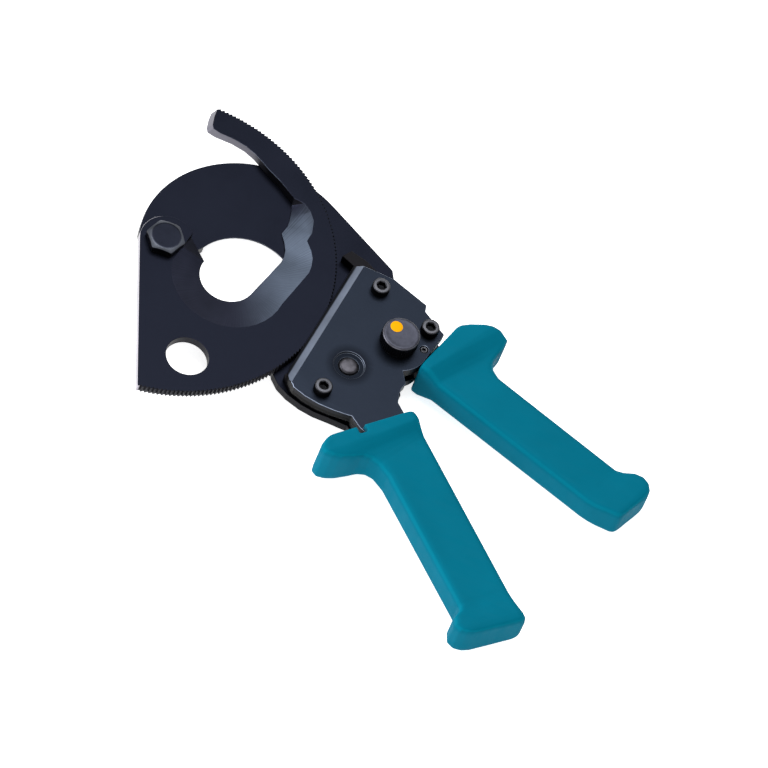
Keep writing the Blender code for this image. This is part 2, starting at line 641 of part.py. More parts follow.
def pawl_outline(pin, tip, eye_r, flank):
    """A pawl from its eye to a wedge tip; flank lists (share of length, half width)."""
    run = (tip[0] - pin[0], tip[1] - pin[1])
    length = hypot(*run)
    angle = degrees(atan2(run[1], run[0]))
    frame = {"origin": pin, "angle": angle, "side": 1}
    outline = arc(pin, eye_r, angle + 60, angle + 300, 18)
    outline += [on_handle(frame, share * length, -half) for share, half in flank]
    outline.append(tip)
    outline += [on_handle(frame, share * length - 0.6, half) for share, half in reversed(flank)]
    return outline


def holding_pawl():
    """Pawl on the frame that stops the blade from opening, and the arm that lifts it."""
    outline = pawl_outline(PAWL_PIN, HOLDING_TIP, 6.6, [(0.62, 4.0), (0.94, 1.7)])
    to_tip = degrees(atan2(HOLDING_TIP[1] - PAWL_PIN[1], HOLDING_TIP[0] - PAWL_PIN[0]))
    rivet_place = polar(PAWL_PIN, 6.9, to_tip)
    holes = [circle(PAWL_PIN, PIN_R + GAP), circle(rivet_place, 0.9, 12)]
    finish(plate("holding_pawl", outline, MIDDLE, holes, at=PAWL_PIN), "bright_steel")
    towards = degrees(atan2(HANDLE_PIN[1] - PAWL_PIN[1], HANDLE_PIN[0] - PAWL_PIN[0]))
    end = polar(PAWL_PIN, LIFT_REACH, towards)
    arm = capsule(PAWL_PIN, 8.1, end, 1.8)
    finish(plate("pawl_lift_arm", arm, (14.1, 15.9), holes, at=PAWL_PIN), "bright_steel")
    rivet = turned("lift_arm_rivet", rivet_place, pin_profile(0.6, (9.5, 15.8), 0.1), 12)
    finish(rivet, "bright_steel", 40)


def drive_pawl():
    """Pawl on the moving handle that pushes the blade shut, half-lapped onto the arm."""
    outline = pawl_outline(DRIVE_PIN, DRIVE_TIP, 4.2, [(0.55, 3.0), (0.92, 1.4)])
    hole = circle(DRIVE_PIN, DRIVE_PIN_R + GAP, 20)
    pawl = plate("drive_pawl", outline, MIDDLE, [hole], at=DRIVE_PIN)
    lap = plate("pawl_lap", circle(DRIVE_PIN, 5.9), (MIDDLE[0] - 1, LAP + GAP), collection=CUTTERS)
    cut(pawl, lap)
    finish(pawl, "bright_steel")


def release():
    """Knob over the handle pin, its yellow index dot, and the cam that lifts the pawl."""
    profile = [(0.0, 27.4), (8.0, 27.4), (8.9, 26.5), (8.9, 20.3), (8.0, HEAD_SEAT),
               (KNOB_STEM_R, HEAD_SEAT), (KNOB_STEM_R, 16.6), (CAM_STEM_R, 16.6),
               (CAM_STEM_R, 10.8), (0.0, 10.8)]
    knob = turned("release_knob", HANDLE_PIN, profile, 40)
    dot = (HANDLE_PIN[0] - 3.4, HANDLE_PIN[1] + 2.5)
    drill(knob, dot, 3.25, (26.6, 28.4))
    finish(knob, "knob_grey", 40)
    finish(turned("knob_index_dot", dot, pin_profile(2.95, (26.9, 27.6), 0.2)), "index_yellow", 40)
    finger = polar(HANDLE_PIN, 8.2, 197.0)
    cam = capsule(HANDLE_PIN, 3.7, finger, 1.1)
    hole = circle(HANDLE_PIN, CAM_STEM_R + GAP, 20)
    finish(plate("release_cam", cam, (14.1, 16.2), [hole], at=HANDLE_PIN), "bright_steel")


# ---------------------------------------------------------------- springs

def coil_spring(name, start, end, radius, wire_r, turns):
    """A compression spring lying in the middle layer between two points."""
    middle = (MIDDLE[0] + MIDDLE[1]) / 2
    axis = Vector((end[0] - start[0], end[1] - start[1], 0.0))
    along = axis.normalized()
    across = Vector((-along.y, along.x, 0.0))
    steps = turns * 10
    points = []
    for k in range(steps + 1):
        a = 2 * pi * turns * k / steps
        centre = Vector((start[0], start[1], middle)) + axis * (k / steps)
        swing = across * cos(a) + Vector((0.0, 0.0, 1.0)) * sin(a)
        points.append(tuple(centre + swing * radius))
    finish(wire(name, points, wire_r, at=(*start, middle), sides=1), "bright_steel", 60)


def springs():
    coil_spring("handle_return_spring", (120.4, -15.0), (117.8, -27.4), 1.7, 0.35, 7)
    coil_spring("holding_pawl_spring", (89.6, -36.6), (88.3, -28.6), 1.6, 0.3, 5)
    coil_spring("drive_pawl_spring", (106.4, 4.0), (91.4, -2.3), 1.3, 0.25, 8)


moving_blade()
fixed_blade()
front_cover()
spacers()
pivot_fasteners()
frame_fasteners()
fixed_handle()
moving_handle()
holding_pawl()
drive_pawl()
release()
springs()
bpy.context.view_layer.update()
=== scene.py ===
"""Looks of the ratchet cable cutter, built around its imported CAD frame.

Pieces made here stand for CAD nodes and move with their bodies. A turned piece takes its axis
and its lowest and highest z from its node; its steps in between, and the springs' two ends, are
given here. Sizes of pieces are in millimetres, and MM turns them into the frame's metres.
Places and distances in a material are in metres, in the piece's own coordinates.
"""
import json
from math import cos, pi, radians, sin

import bmesh
import bpy
from mathutils import Matrix, Vector


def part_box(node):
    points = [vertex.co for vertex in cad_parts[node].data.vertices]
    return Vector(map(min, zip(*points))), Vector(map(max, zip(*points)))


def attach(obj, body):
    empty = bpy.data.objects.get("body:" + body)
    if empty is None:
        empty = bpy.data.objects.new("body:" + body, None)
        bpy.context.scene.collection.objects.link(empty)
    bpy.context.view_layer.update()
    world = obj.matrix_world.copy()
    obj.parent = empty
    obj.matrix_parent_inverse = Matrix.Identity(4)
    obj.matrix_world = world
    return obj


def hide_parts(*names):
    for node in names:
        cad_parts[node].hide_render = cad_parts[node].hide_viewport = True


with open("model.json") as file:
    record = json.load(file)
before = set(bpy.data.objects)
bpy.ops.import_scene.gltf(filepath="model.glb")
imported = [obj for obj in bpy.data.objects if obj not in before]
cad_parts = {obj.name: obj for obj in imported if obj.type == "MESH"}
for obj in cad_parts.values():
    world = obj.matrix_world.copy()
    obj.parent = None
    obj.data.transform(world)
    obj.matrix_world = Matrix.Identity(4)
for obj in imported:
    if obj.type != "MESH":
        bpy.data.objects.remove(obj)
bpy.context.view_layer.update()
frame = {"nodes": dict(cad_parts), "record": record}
MM = 0.001
SLOT_OF = {part["node"]: part["material_slot"] for part in frame["record"]["subparts"]}
BODY_OF = {}
for body_name, members in frame["record"]["behaviour"]["bodies"].items():
    for member in members:
        BODY_OF[member] = body_name

# How finely round pieces are made, and how meshes are cleaned and shaded: WELD and GRIP_VOXEL
# are in millimetres, and the three angles are in degrees.
STEPS = 96
STEPS_PER_COIL = 28
WELD = 0.004
FLAT_WITHIN = 0.3
CRISP_ANGLE = 28
ROUND_SHARP = 30.0
GRIP_VOXEL = 0.5

# Sizes of the turned pieces; a cone is (radius where it starts, drop per millimetre outside it).
BOLT_HEAD = 4.4
BOLT_FLATS = 16.0
BOLT_R = 5.0
BOLT_TURN = 6.0
BOLT_CONE = (7.1, 0.58)
NUT_BORE_R = 5.3
NUT_TURN = 20.0
NUT_CONE = (7.5, 0.5)
WORN_FLATS = BOLT_FLATS - 0.1
SCREW_HEAD = 4.0
SCREW_HEAD_R = 4.25
SCREW_R = 2.5
SCREW_SOCKET = 4.0
SCREW_KNURL = 0.16
GRUB_R = 1.7
GRUB_SOCKET = 1.6
PIN_R = 4.5
CLIP_GROOVE_R = 3.7
CLIP_GROOVE = (3.1, 4.1)
HANDLE_PIN_HEAD_R = 6.6
HANDLE_PIN_HEAD_TOP = 4.2
HANDLE_PIN_BORE_R = 2.2
KNOB_R = 8.9
KNOB_KNURL = 0.38
KNOB_FOOT = 19.4
KNOB_STEM_R = 3.0
KNOB_STEM_FOOT = 16.6
CAM_STEM_R = 1.9
DOT_R = 2.95

# Marks on the blades and the cover, each painted light except the opening's middle: painted
# shade at the arm's root, outside the tooth circle, at the flange's foot and round the pawl pin,
# and painted highlights on the bevels towards the frame, at the arm's tip, at the hub's edge and
# along the straight side. A spot is its place, then where it starts and ends fading;
# a stretch is its turn in degrees, then where it starts and ends along the turned X axis.
OPENING_MIDDLE = (0.0385, 0.0, 0.0)
ARM_ROOT = ((0.0458, 0.0514, 0.0115), 0.005, 0.013)
ARM_TIP = ((-0.0020, 0.0740, 0.0100), 0.024, 0.034)
HUB_EDGE = ((-0.0107, 0.0072, 0.0138), 0.0045, 0.0075)
TOOTH_CIRCLE = ((0.0, 0.0, 0.0), 0.0735, 0.0750)
PAWL_SPOT = ((0.1000, -0.0255, 0.0190), 0.0082, 0.0090)
BEVEL_HIGHLIGHT_STRETCH = (-25.0, 0.027, 0.062)
STRAIGHT_SIDE = (-20.1, -0.0114, -0.0106)
FLANGE_FOOT = (0.0161, 0.0168)

# Two blade colours, a painted highlight on the hub's edge and the face's own tone, and how
# much brighter a scratch is than the metal round it.
HUB_HIGHLIGHT = (0.85, 0.83, 0.90, 1.0)
BLADE_FACE = (0.0064, 0.0075, 0.0125)
SCRATCH = 0.25


# ---------------------------------------------------------------- material helpers

def new_material(name):
    mat = bpy.data.materials.new(name)
    mat.use_nodes = True
    return mat


def add(mat, kind, inputs=None, **settings):
    """A node with its settings; each input is a constant or another node's output."""
    node = mat.node_tree.nodes.new(kind)
    for key, value in settings.items():
        setattr(node, key, value)
    plug(mat, node, inputs or {})
    return node


def plug(mat, node, inputs):
    for socket, value in inputs.items():
        if isinstance(value, bpy.types.NodeSocket):
            mat.node_tree.links.new(value, node.inputs[socket])
        else:
            node.inputs[socket].default_value = value


def shade(mat, **inputs):
    """Set the Principled shader's inputs, named with underscores for spaces."""
    shader = mat.node_tree.nodes["Principled BSDF"]
    plug(mat, shader, {name.replace("_", " "): value for name, value in inputs.items()})


def ramp(mat, factor, stops):
    """A colour ramp; a stop is (position, colour) with a colour of one or three numbers."""
    node = add(mat, "ShaderNodeValToRGB", {"Fac": factor})
    elements = node.color_ramp.elements
    elements.remove(elements[1])
    for k, (position, colour) in enumerate(stops):
        element = elements[0] if k == 0 else elements.new(position)
        element.position = position
        rgb = colour if isinstance(colour, tuple) else (colour, colour, colour)
        element.color = (*rgb, 1.0)
    return node.outputs["Color"]


def object_place(mat, stretch=(1.0, 1.0, 1.0), turn=0.0):
    """The place on the piece itself, so that a pattern moves with it, stretched or turned."""
    place = add(mat, "ShaderNodeTexCoord").outputs["Object"]
    mapping = add(mat, "ShaderNodeMapping", {
        "Vector": place, "Scale": stretch, "Rotation": (0.0, 0.0, radians(turn))})
    return mapping.outputs["Vector"]


def noise(mat, place, scale, detail):
    node = add(mat, "ShaderNodeTexNoise", {
        "Vector": place, "Scale": scale, "Detail": detail, "Roughness": 0.55})
    return node.outputs["Fac"]


def times(mat, colour, by):
    node = add(mat, "ShaderNodeMix", data_type="RGBA", blend_type="MULTIPLY")
    plug(mat, node, {0: 1.0, 6: colour, 7: by})
    return node.outputs[2]


def blended(mat, share, colour, other):
    node = add(mat, "ShaderNodeMix", data_type="RGBA")
    plug(mat, node, {0: share, 6: colour, 7: other})
    return node.outputs[2]


def bumped(mat, height, strength, distance, under=None):
    node = add(mat, "ShaderNodeBump", {
        "Height": height, "Strength": strength, "Distance": distance * MM})
    if under:
        plug(mat, node, {"Normal": under})
    return node.outputs["Normal"]


def levelness(mat):
    """1 on a surface that faces up or down, 0 on one that stands upright."""
    normal = add(mat, "ShaderNodeNewGeometry").outputs["True Normal"]
    height = add(mat, "ShaderNodeSeparateXYZ", {"Vector": normal}).outputs["Z"]
    return add(mat, "ShaderNodeMath", {0: height}, operation="ABSOLUTE").outputs[0]


# ---------------------------------------------------------------- finishes

def along(mat, place, axis, start, end):
    """0 before start and 1 after end, along one of the axes of place."""
    value = add(mat, "ShaderNodeSeparateXYZ", {"Vector": place}).outputs[axis]
    span = {"Value": value, "From Min": start, "From Max": end, "To Min": 0.0, "To Max": 1.0}
    return add(mat, "ShaderNodeMapRange", span, interpolation_type="SMOOTHSTEP").outputs["Result"]


def beyond(mat, stretch):
    """0 before a stretch and 1 after it, along its own turned X axis."""
    turn, start, end = stretch
    return along(mat, object_place(mat, turn=turn), "X", start, end)


def near(mat, place, spot):
    """1 close to a spot, and 0 far from it."""
    centre, start, end = spot
    away = add(mat, "ShaderNodeVectorMath", {0: place, 1: centre}, operation="DISTANCE")
    return ramp(mat, away.outputs["Value"], [(start, 1.0), (end, 0.0)])


def metal(name, tones, sheen, cloud=0.16, cloud_scale=55.0, grain=0.10):
    """Worn metal: a tone for each slope, clouding, hairline scratches, and fine grain."""
    mat = new_material(name)
    place = object_place(mat)
    patches = noise(mat, place, cloud_scale, detail=5.0)
    colour = ramp(mat, levelness(mat), tones)
    colour = times(mat, colour, ramp(mat, patches, [(0.32, 1.0 - cloud), (0.68, 1.0 + cloud)]))
    hair = noise(mat, object_place(mat, stretch=(1.0, 26.0, 1.0), turn=31.0), 190.0, detail=2.0)
    cross = noise(mat, object_place(mat, stretch=(30.0, 1.0, 1.0), turn=12.0), 160.0, detail=2.0)
    lines = ramp(mat, hair, [(0.66, 1.0), (0.72, 1.0 + SCRATCH)])
    marks = ramp(mat, cross, [(0.68, 1.0), (0.74, 1.0 + SCRATCH)])
    colour = times(mat, times(mat, colour, lines), marks)
    fine = noise(mat, place, 2400.0, detail=2.0)
    low, high = sheen
    rough = ramp(mat, patches, [(0.3, low), (0.7, high)])
    normal = bumped(mat, fine, strength=grain, distance=0.05)
    normal = bumped(mat, hair, strength=grain * 0.6, distance=0.03, under=normal)
    shade(mat, Base_Color=colour, Roughness=rough, Metallic=1.0, Normal=normal)
    return mat


def cover_plate(mat):
    """Painted shade in the foot of the cover's flange and in the recess round the holding pawl's pin.
    """
    place = object_place(mat)
    flange_shade = ramp(mat, along(mat, place, "Z", *FLANGE_FOOT), [(0.0, 0.05), (1.0, 1.0)])
    pin_shade = ramp(mat, near(mat, place, PAWL_SPOT), [(0.0, 1.0), (1.0, 0.5)])
    base = mat.node_tree.nodes["Principled BSDF"].inputs["Base Color"].links[0].from_socket
    shade(mat, Base_Color=times(mat, times(mat, base, flange_shade), pin_shade))
    return mat


def radial_streaks(mat, place):
    """Fine streaks that run outwards from the middle of the cable opening."""
    about = add(mat, "ShaderNodeVectorMath", {0: place, 1: OPENING_MIDDLE}, operation="SUBTRACT")
    sweep = add(mat, "ShaderNodeTexGradient", {"Vector": about.outputs[0]}, gradient_type="RADIAL")
    streak = add(mat, "ShaderNodeTexNoise",
                 {"W": sweep.outputs["Fac"], "Scale": 460.0, "Detail": 3.0}, noise_dimensions="1D")
    return streak.outputs["Fac"]


def ground_blade(name, ground, shaded_bevel, wall, tip_wall, dark_wall):
    """Blackened blade with ground bevels, whose grinding runs out from the cable opening.

    The bevels get a painted highlight towards the frame, and painted shade near the pivot and at
    the arm's root. The walls get a painted highlight along the straight side and at the arm's tip,
    and painted shade elsewhere. Outside the tooth circle the bevels get painted shade, and the
    hub's edge gets a painted highlight.
    """
    mat = new_material(name)
    place = object_place(mat)
    patches = noise(mat, place, 34.0, detail=5.0)
    level = levelness(mat)
    # Painted highlight on the bevels towards the frame, and painted shade near the pivot and at the
    # arm's root.
    bevel_light = blended(mat, beyond(mat, BEVEL_HIGHLIGHT_STRETCH), (*shaded_bevel, 1.0), (*ground, 1.0))
    bevel_light = blended(mat, near(mat, place, ARM_ROOT), bevel_light, (*shaded_bevel, 1.0))
    # Painted highlight on the walls along the straight side and at the arm's tip, and painted shade on
    # the other walls.
    side = blended(mat, beyond(mat, STRAIGHT_SIDE), (*wall, 1.0), (*dark_wall, 1.0))
    side = blended(mat, near(mat, place, ARM_TIP), side, (*tip_wall, 1.0))
    on_bevel = ramp(mat, level, [(0.50, 0.0), (0.62, 1.0), (0.985, 1.0), (0.996, 0.0)])
    on_face = ramp(mat, level, [(0.985, 0.0), (0.997, 1.0)])
    streak = radial_streaks(mat, place)
    bevel = times(mat, bevel_light, ramp(mat, streak, [(0.25, 0.80), (0.5, 1.0), (0.75, 1.22)]))
    # Painted shade on the bevels outside the tooth circle.
    bevel = blended(mat, near(mat, place, TOOTH_CIRCLE), (*dark_wall, 1.0), bevel)
    # Painted highlight on the hub's edge.
    bevel = blended(mat, near(mat, place, HUB_EDGE), bevel, HUB_HIGHLIGHT)
    tone = blended(mat, on_bevel, side, bevel)
    tone = blended(mat, on_face, tone, (*BLADE_FACE, 1.0))
    tone = times(mat, tone, ramp(mat, patches, [(0.30, 0.76), (0.70, 1.26)]))
    fine = noise(mat, place, 2100.0, detail=2.0)
    swirl = noise(mat, object_place(mat, stretch=(1.0, 18.0, 1.0), turn=-24.0), 150.0, detail=3.0)
    rough = ramp(mat, patches, [(0.3, 0.36), (0.7, 0.50)])
    normal = bumped(mat, fine, strength=0.12, distance=0.05)
    normal = bumped(mat, swirl, strength=0.05, distance=0.05, under=normal)
    shade(mat, Base_Color=tone, Roughness=rough, Metallic=1.0, Normal=normal)
    return mat


def plastic(name, colour, edge, sheen, specular):
    """Moulded plastic: fine grain, soft clouding, and another tone where it slopes."""
    mat = new_material(name)
    place = object_place(mat)
    patches = noise(mat, place, 26.0, detail=4.0)
    tone = times(mat, ramp(mat, patches, [(0.3, 0.93), (0.7, 1.07)]), (*colour, 1.0))
    sloping = ramp(mat, levelness(mat), [(0.30, 0.0), (0.50, 1.0), (0.75, 1.0), (0.86, 0.0)])
    tone = blended(mat, sloping, tone, (*edge, 1.0))
    grain = noise(mat, place, 1500.0, detail=2.0)
    smear = noise(mat, object_place(mat, stretch=(1.0, 5.0, 1.0), turn=40.0), 70.0, detail=3.0)
    low, high = sheen
    rough = ramp(mat, smear, [(0.3, low), (0.7, high)])
    normal = bumped(mat, grain, strength=0.10, distance=0.08)
    shade(mat, Base_Color=tone, Roughness=rough, Normal=normal, Specular_IOR_Level=specular)
    return mat


# A tone is (levelness, colour): 0 is an upright wall and 1 is a level face.
# The blades' bevel and wall tones are the lit and shaded tones of their painted light.
FIXED_BLADE = ground_blade(
    "fixed_blade", ground=(0.110, 0.120, 0.150), shaded_bevel=(0.110, 0.120, 0.150),
    wall=(0.010, 0.011, 0.014), tip_wall=(0.010, 0.011, 0.014), dark_wall=(0.006, 0.006, 0.008))
SPACER = metal(
    "spacer", [(0.5, (0.004, 0.004, 0.005)), (0.98, (0.0080, 0.0078, 0.0090))],
    sheen=(0.42, 0.52), cloud=0.2, cloud_scale=60.0)
TANG = metal(
    "tang", [(0.5, (0.006, 0.006, 0.007)), (0.96, (0.026, 0.027, 0.032))], sheen=(0.40, 0.55))
WORN_PIN = metal(
    "worn_pin", [(0.5, (0.03, 0.03, 0.034)), (0.9, (0.050, 0.049, 0.057))],
    sheen=(0.34, 0.50), cloud=0.45, cloud_scale=330.0, grain=0.2)
FINISH = {
    "blade_steel": ground_blade(
        "moving_blade", ground=(0.076, 0.094, 0.128), shaded_bevel=(0.0176, 0.0196, 0.0320),
        wall=(0.300, 0.285, 0.320), tip_wall=(0.120, 0.118, 0.140), dark_wall=(0.012, 0.012, 0.016)),
    "cover_steel": cover_plate(metal(
        "cover_steel", [(0.45, (0.0080, 0.0085, 0.0110)), (0.60, (0.215, 0.250, 0.325)),
                        (0.90, (0.215, 0.250, 0.325)), (0.985, (0.0112, 0.0145, 0.0220))],
        sheen=(0.38, 0.50), cloud=0.18, cloud_scale=30.0)),
    "black_oxide": metal(
        "black_oxide", [(0.5, (0.006, 0.006, 0.007)), (0.96, (0.070, 0.072, 0.082))],
        sheen=(0.40, 0.55)),
    "bright_steel": metal(
        "bright_steel", [(0.4, (0.10, 0.10, 0.105)), (0.9, (0.155, 0.152, 0.156))],
        sheen=(0.24, 0.36), cloud=0.12, cloud_scale=120.0),
    "bolt_steel": metal(
        "bolt_steel", [(0.30, (0.014, 0.015, 0.020)), (0.60, (0.12, 0.13, 0.15)),
                       (0.95, (0.095, 0.105, 0.13)), (0.99, (0.0072, 0.0083, 0.0130))],
        sheen=(0.26, 0.40), cloud=0.20, cloud_scale=140.0),
    "knob_grey": metal(
        "knob_grey", [(0.30, (0.007, 0.0075, 0.010)), (0.70, (0.11, 0.11, 0.13)),
                      (0.97, (0.042, 0.044, 0.058))],
        sheen=(0.40, 0.55), cloud=0.28, cloud_scale=300.0),
    "bronze": metal(
        "bronze", [(0.4, (0.15, 0.085, 0.030)), (0.9, (0.20, 0.120, 0.048))], sheen=(0.32, 0.46)),
    "grip_teal": plastic(
        "grip_teal", colour=(0.0, 0.108, 0.166), edge=(0.0, 0.128, 0.190),
        sheen=(0.52, 0.66), specular=0.02),
    "index_yellow": plastic(
        "index_yellow", colour=(0.72, 0.312, 0.0), edge=(0.80, 0.38, 0.0),
        sheen=(0.44, 0.54), specular=0.03),
}


# ---------------------------------------------------------------- piece helpers

def dress(obj, node, finish=None):
    """obj stands for a CAD node: it takes that node's finish and moves with its body."""
    obj.data.materials.clear()
    obj.data.materials.append(finish or FINISH[SLOT_OF[node]])
    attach(obj, BODY_OF[node])
    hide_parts(node)
    return obj


def link(name, mesh, at=(0.0, 0.0, 0.0)):
    obj = bpy.data.objects.new(name, mesh)
    obj.location = at
    bpy.context.scene.collection.objects.link(obj)
    return obj


def to_mesh(bm, name, sharp):
    """A mesh shaded smooth except where faces meet more steeply than sharp degrees."""
    bmesh.ops.recalc_face_normals(bm, faces=bm.faces)
    mesh = bpy.data.meshes.new(name)
    bm.to_mesh(mesh)
    bm.free()
    mesh.shade_smooth()
    mesh.set_sharp_from_angle(angle=radians(sharp))
    return mesh


def refined(node, width, sharp=12.0, segments=2, finish=None):
    """A CAD node's shape with its crisp edges broken by a small rounded bevel."""
    bm = bmesh.new()
    bm.from_mesh(frame["nodes"][node].data)
    bmesh.ops.remove_doubles(bm, verts=bm.verts, dist=WELD * MM)
    bmesh.ops.dissolve_limit(bm, angle_limit=radians(FLAT_WITHIN), verts=bm.verts, edges=bm.edges)
    crisp = [edge for edge in bm.edges
             if len(edge.link_faces) == 2 and edge.calc_face_angle() > radians(CRISP_ANGLE)]
    bmesh.ops.bevel(bm, geom=crisp, offset=width * MM, offset_type="OFFSET", segments=segments,
                    profile=0.5, affect="EDGES", clamp_overlap=False)
    return dress(link(node + "_shown", to_mesh(bm, node + "_shown", sharp)), node, finish)


def circle(radius, z):
    return [(radius, z)] * STEPS


def knurl(radius, z, depth):
    return [(radius - depth * (k % 2), z) for k in range(STEPS)]


def hexagon(across_flats, z, turn=0.0, cone=None):
    """A hexagon; cone = (radius, drop per millimetre) lets it sag outside that radius."""
    ring = []
    for k in range(STEPS):
        angle = (360.0 * k / STEPS - turn) % 60.0 - 30.0
        radius = across_flats / 2 / cos(radians(angle))
        drop = max(0.0, radius - cone[0]) * cone[1] if cone else 0.0
        ring.append((radius, z - drop))
    return ring


def place_of(node):
    """A node's centre, and its lowest and highest z in millimetres."""
    low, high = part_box(node)
    return (low + high) / 2, low.z / MM, high.z / MM


def turned(name, node, rings, bored=False, finish=None):
    """A round piece on its node's axis, through rings of (radius, z).

    Each end is closed by a cap, or, where the piece is bored, the last ring joins the first.
    """
    bm = bmesh.new()
    loops = []
    for ring in rings:
        loop = []
        for k, (radius, z) in enumerate(ring):
            a = 2 * pi * k / STEPS
            loop.append(bm.verts.new(Vector((radius * cos(a), radius * sin(a), z)) * MM))
        loops.append(loop)
    for upper, lower in zip(loops, loops[1:] + loops[:1] if bored else loops[1:]):
        for k in range(STEPS):
            after = (k + 1) % STEPS
            bm.faces.new((upper[k], lower[k], lower[after], upper[after]))
    if not bored:
        for loop, ring in ((loops[0], rings[0]), (loops[-1], rings[-1])):
            hub = bm.verts.new(Vector((0.0, 0.0, ring[0][1])) * MM)
            for k in range(STEPS):
                bm.faces.new((loop[k], loop[(k + 1) % STEPS], hub))
    centre = place_of(node)[0]
    dress(link(name, to_mesh(bm, name, ROUND_SHARP), (centre.x, centre.y, 0.0)), node, finish)


# ---------------------------------------------------------------- pieces

def blades_and_plates():
    refined("moving_blade", 0.16)
    refined("fixed_blade", 0.16, finish=FIXED_BLADE)
    refined("front_cover", 0.35, segments=3)
    for node in ("upper_spacer", "lower_spacer"):
        refined(node, 0.2, finish=SPACER)
    for node in ("fixed_tang", "moving_tang"):
        refined(node, 0.2, finish=TANG)
    for node in ("holding_pawl", "drive_pawl", "pawl_lift_arm", "release_cam", "pawl_pin_clip"):
        refined(node, 0.12)
    for node in ("pivot_bush", "handle_stop_sleeve", "tang_rivet_1", "tang_rivet_2"):
        refined(node, 0.15, sharp=ROUND_SHARP)
    for node in ("lift_arm_rivet", "drive_pawl_pin"):
        refined(node, 0.08, sharp=ROUND_SHARP)


def grips():
    """The grips remeshed fine and smoothed, so that creases and edges are softly moulded."""
    for node in ("fixed_grip", "moving_grip"):
        bm = bmesh.new()
        bm.from_mesh(frame["nodes"][node].data)
        bmesh.ops.remove_doubles(bm, verts=bm.verts, dist=WELD * MM)
        rough = link(node + "_blank", to_mesh(bm, node + "_blank", 180.0))
        remesh = rough.modifiers.new("remesh", "REMESH")
        remesh.mode = "VOXEL"
        remesh.voxel_size = GRIP_VOXEL * MM
        smooth = rough.modifiers.new("smooth", "SMOOTH")
        smooth.factor = 0.5
        smooth.iterations = 3
        bpy.context.view_layer.update()
        moulded = rough.evaluated_get(bpy.context.evaluated_depsgraph_get())
        mesh = bpy.data.meshes.new_from_object(moulded)
        mesh.shade_smooth()
        bpy.data.objects.remove(rough)
        dress(link(node + "_moulded", mesh), node)


def pivot_bolt():
    """Hex head with a chamfered crown, on a shank with a chamfered end."""
    _, low, top = place_of("pivot_bolt")
    seat = top - BOLT_HEAD
    crown = [circle(6.2, top), circle(6.7, top), circle(7.0, top - 0.06)]
    head = [hexagon(WORN_FLATS, top - 0.10, BOLT_TURN, BOLT_CONE),
            hexagon(BOLT_FLATS, top - 0.35, BOLT_TURN, BOLT_CONE),
            hexagon(BOLT_FLATS, seat + 0.35, BOLT_TURN), hexagon(WORN_FLATS - 0.2, seat, BOLT_TURN)]
    shank = [circle(BOLT_R, seat), circle(BOLT_R, low + 0.6), circle(BOLT_R - 0.6, low)]
    turned("bolt_turned", "pivot_bolt", crown + head + shank)


def pivot_nut():
    """Hex nut with both its faces chamfered."""
    _, low, top = place_of("pivot_nut")
    bore = [circle(NUT_BORE_R, low + 0.4), circle(NUT_BORE_R, top - 0.4)]
    upper = [circle(5.7, top), circle(7.4, top), hexagon(WORN_FLATS, top - 0.1, NUT_TURN, NUT_CONE)]
    under = [[(r, low + top - z) for r, z in ring] for ring in reversed(upper)]
    turned("nut_turned", "pivot_nut", bore + upper + under, bored=True)


def cap_screw(node, turn):
    """Socket cap screw with a knurled head, a broken rim and a chamfered hex socket."""
    _, low, top = place_of(node)
    seat = top - SCREW_HEAD
    socket = [circle(0.3, top - 4.2), hexagon(SCREW_SOCKET - 0.2, top - 3.0, turn),
              hexagon(SCREW_SOCKET, top - 0.35, turn), circle(2.55, top)]
    rim = [circle(3.45, top), circle(3.75, top - 0.07), circle(4.05, top - 0.30),
           circle(4.2, top - 0.65)]
    side = [knurl(SCREW_HEAD_R, top - 0.85, SCREW_KNURL), knurl(SCREW_HEAD_R, seat + 0.45, SCREW_KNURL),
            circle(4.15, seat + 0.25), circle(4.0, seat)]
    shank = [circle(SCREW_R, seat), circle(SCREW_R, low + 0.4), circle(SCREW_R - 0.4, low)]
    turned(node + "_turned", node, socket + rim + side + shank)


def grub_screw():
    """Headless screw with a hex socket, sunk in the cover."""
    _, low, top = place_of("cover_grub_screw")
    socket = [hexagon(GRUB_SOCKET, top - 1.4), hexagon(GRUB_SOCKET, top - 0.15), circle(1.1, top)]
    shank = [circle(1.45, top), circle(GRUB_R, top - 0.25), circle(GRUB_R, low + 0.3),
             circle(1.4, low)]
    turned("grub_turned", "cover_grub_screw", socket + shank)


def holding_pawl_pin():
    """Pin with a rounded end, rubbed down by wear, and a groove for its clip."""
    _, low, top = place_of("holding_pawl_pin")
    groove_low, groove_top = CLIP_GROOVE
    worn_end = [circle(0.9, top), circle(3.0, top - 0.04), circle(3.7, top - 0.16),
                circle(4.2, top - 0.45), circle(4.45, top - 0.85), circle(PIN_R, top - 1.2)]
    groove = [circle(PIN_R, groove_top), circle(CLIP_GROOVE_R, groove_top),
              circle(CLIP_GROOVE_R, groove_low), circle(PIN_R, groove_low)]
    foot = [circle(PIN_R - 0.1, low + 0.2), circle(4.1, low)]
    turned("pawl_pin_turned", "holding_pawl_pin", worn_end + groove + foot, finish=WORN_PIN)


def handle_pivot_pin():
    """Pin with a flat head underneath, a blind bore in its top and a shallow dimple below."""
    _, low, top = place_of("handle_pivot_pin")
    bore = HANDLE_PIN_BORE_R
    top_bore = [circle(1.9, 10.5), circle(bore, 10.8), circle(bore, top - 0.2), circle(2.4, top)]
    side = [circle(4.3, top), circle(PIN_R, top - 0.2), circle(PIN_R, HANDLE_PIN_HEAD_TOP)]
    head = [circle(6.4, HANDLE_PIN_HEAD_TOP), circle(HANDLE_PIN_HEAD_R, HANDLE_PIN_HEAD_TOP - 0.2),
            circle(HANDLE_PIN_HEAD_R, low + 0.5), circle(6.2, low)]
    dimple = [circle(2.6, low), circle(bore, low + 0.6), circle(0.6, low + 0.6)]
    turned("handle_pin_turned", "handle_pivot_pin", top_bore + side + head + dimple)


